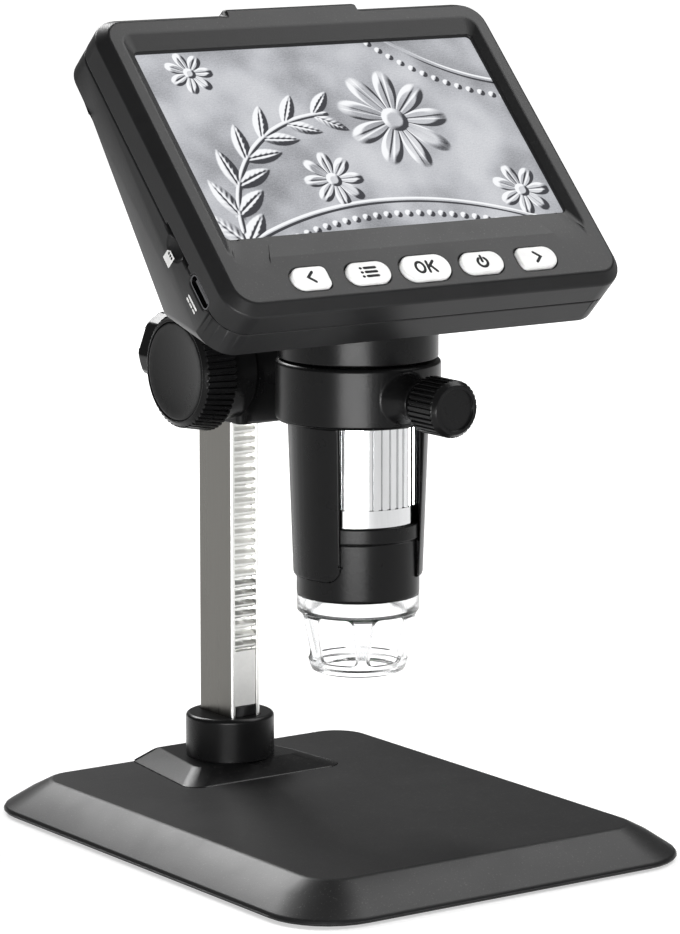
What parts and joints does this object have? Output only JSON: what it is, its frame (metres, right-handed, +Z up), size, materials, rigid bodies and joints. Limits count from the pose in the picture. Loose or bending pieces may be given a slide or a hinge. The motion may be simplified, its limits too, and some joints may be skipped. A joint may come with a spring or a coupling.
{
  "type": "lcd digital microscope",
  "caption": "Free-standing digital microscope: tilted screen head on a camera barrel, in a clamp ring on a rack-and-pinion column above a flat base.",
  "frame": {"origin": "middle of the base, on the table", "axes": "+Z up, -Y towards the user, +X to the user's right"},
  "size_m": [0.1116, 0.141, 0.1946],
  "materials": {
    "black_plastic": "fine moulded texture, satin",
    "base_black": "smooth satin moulding",
    "head_grey": "fine moulded texture, satin",
    "rubber_black": "matte",
    "steel": "bright zinc plate",
    "ballast_steel": "rolled plate",
    "column_metal": "satin drawn section",
    "rack_metal": "milled teeth",
    "brass": "turned",
    "nylon": "satin",
    "chrome": "polished",
    "clear_plastic": "clear, polished",
    "lens_glass": "coated lens",
    "board_green": "solder mask",
    "led_white": "clear dome over phosphor",
    "sensor_dark": "glass lid",
    "cable_amber": "film over copper",
    "screen_glass": "lit screen behind clear glass",
    "battery_foil": "foil pouch",
    "key_white": "satin"
  },
  "bodies": {
    "stand": {"base_plate": "base_black", "base_cover": "black_plastic", "steel_ballast": "ballast_steel", "rubber_feet": "rubber_black", "base_screws": "steel", "plinth": "black_plastic", "column_collar": "black_plastic", "column": "column_metal", "column_foot": "black_plastic", "column_bolt": "steel", "cross_pin": "steel", "column_cap": "black_plastic", "gear_rack": "rack_metal"},
    "carriage": {"carriage": "black_plastic", "slide_liners": "nylon", "shaft_bushes": "brass", "end_cap": "black_plastic", "screw_insert": "brass"},
    "focus_drive": {"focus_knob": "black_plastic", "knob_cap": "black_plastic", "knob_screw": "steel", "focus_shaft": "steel", "pinion": "brass"},
    "pad": {"friction_pad": "nylon"},
    "tension": {"tension_knob": "black_plastic", "tension_screw": "steel"},
    "lock": {"lock_knob": "black_plastic", "lock_screw": "steel"},
    "head": {"barrel_core": "black_plastic", "grip_left": "black_plastic", "grip_right": "black_plastic", "nose_ring": "black_plastic", "led_board": "board_green", "leds": "led_white", "clear_shroud": "clear_plastic", "sensor_board": "board_green", "image_sensor": "sensor_dark", "ribbon_cable": "cable_amber", "neck": "black_plastic", "neck_screws": "steel", "rear_shell": "head_grey", "front_bezel": "head_grey", "shell_screws": "steel", "inner_screws": "steel", "screen_panel": "screen_glass", "screen_bracket": "steel", "main_board": "board_green", "battery": "battery_foil", "usb_port": "steel", "card_socket": "steel", "key_board": "board_green"},
    "wheel": {"focus_wheel": "chrome"},
    "lens": {"lens_cell": "black_plastic", "objective_lens": "lens_glass", "lens_retainer": "black_plastic"},
    "key_left": {"key_left": "key_white"},
    "key_menu": {"key_menu": "key_white"},
    "key_ok": {"key_ok": "key_white"},
    "key_power": {"key_power": "key_white"},
    "key_right": {"key_right": "key_white"}
  },
  "joints": [
    {"name": "carriage_slide", "type": "slide", "parent": "stand", "child": "carriage", "axis": [0, 0, 1], "range_m": [-0.032, 0.04]},
    {"name": "focus_turn", "type": "hinge", "parent": "carriage", "child": "focus_drive", "pos_m": [0, 0.03332, 0.1087], "axis": [1, 0, 0], "range_deg": [-480, 385]},
    {"name": "pad_slide", "type": "slide", "parent": "carriage", "child": "pad", "axis": [0, -1, 0], "range_m": [0, 0.00026]},
    {"name": "tension_turn", "type": "hinge", "parent": "pad", "child": "tension", "pos_m": [0, 0.06, 0.1081], "axis": [0, -1, 0], "range_deg": [0, 130]},
    {"name": "lock_turn", "type": "hinge", "parent": "carriage", "child": "lock", "pos_m": [0, -0.04, 0.1081], "axis": [0, 1, 0], "range_deg": [-270, 90]},
    {"name": "head_swivel", "type": "hinge", "parent": "carriage", "child": "head", "pos_m": [0, -0.01, 0.1081], "axis": [0, 0, 1], "range_deg": [-25, 25]},
    {"name": "wheel_turn", "type": "hinge", "parent": "head", "child": "wheel", "pos_m": [0, -0.01, 0.0891], "axis": [0, 0, 1], "range_deg": [-150, 150]},
    {"name": "lens_slide", "type": "slide", "parent": "head", "child": "lens", "axis": [0, 0, 1], "range_m": [-0.004, 0.004]},
    {"name": "key_left_press", "type": "slide", "parent": "head", "child": "key_left", "axis": [0, 0.7169, -0.6972], "range_m": [0, 0.0006], "stiffness_N_per_m": 300},
    {"name": "key_menu_press", "type": "slide", "parent": "head", "child": "key_menu", "axis": [0, 0.7169, -0.6972], "range_m": [0, 0.0006], "stiffness_N_per_m": 300},
    {"name": "key_ok_press", "type": "slide", "parent": "head", "child": "key_ok", "axis": [0, 0.7169, -0.6972], "range_m": [0, 0.0006], "stiffness_N_per_m": 300},
    {"name": "key_power_press", "type": "slide", "parent": "head", "child": "key_power", "axis": [0, 0.7169, -0.6972], "range_m": [0, 0.0006], "stiffness_N_per_m": 300},
    {"name": "key_right_press", "type": "slide", "parent": "head", "child": "key_right", "axis": [0, 0.7169, -0.6972], "range_m": [0, 0.0006], "stiffness_N_per_m": 300}
  ],
  "couplings": [
    {"joint": "focus_turn", "follows": "carriage_slide", "rad_per_m": -208.33},
    {"joint": "pad_slide", "follows": "tension_turn", "m_per_rad": 0.00011141},
    {"joint": "lens_slide", "follows": "wheel_turn", "m_per_rad": 0.0015279}
  ]
}
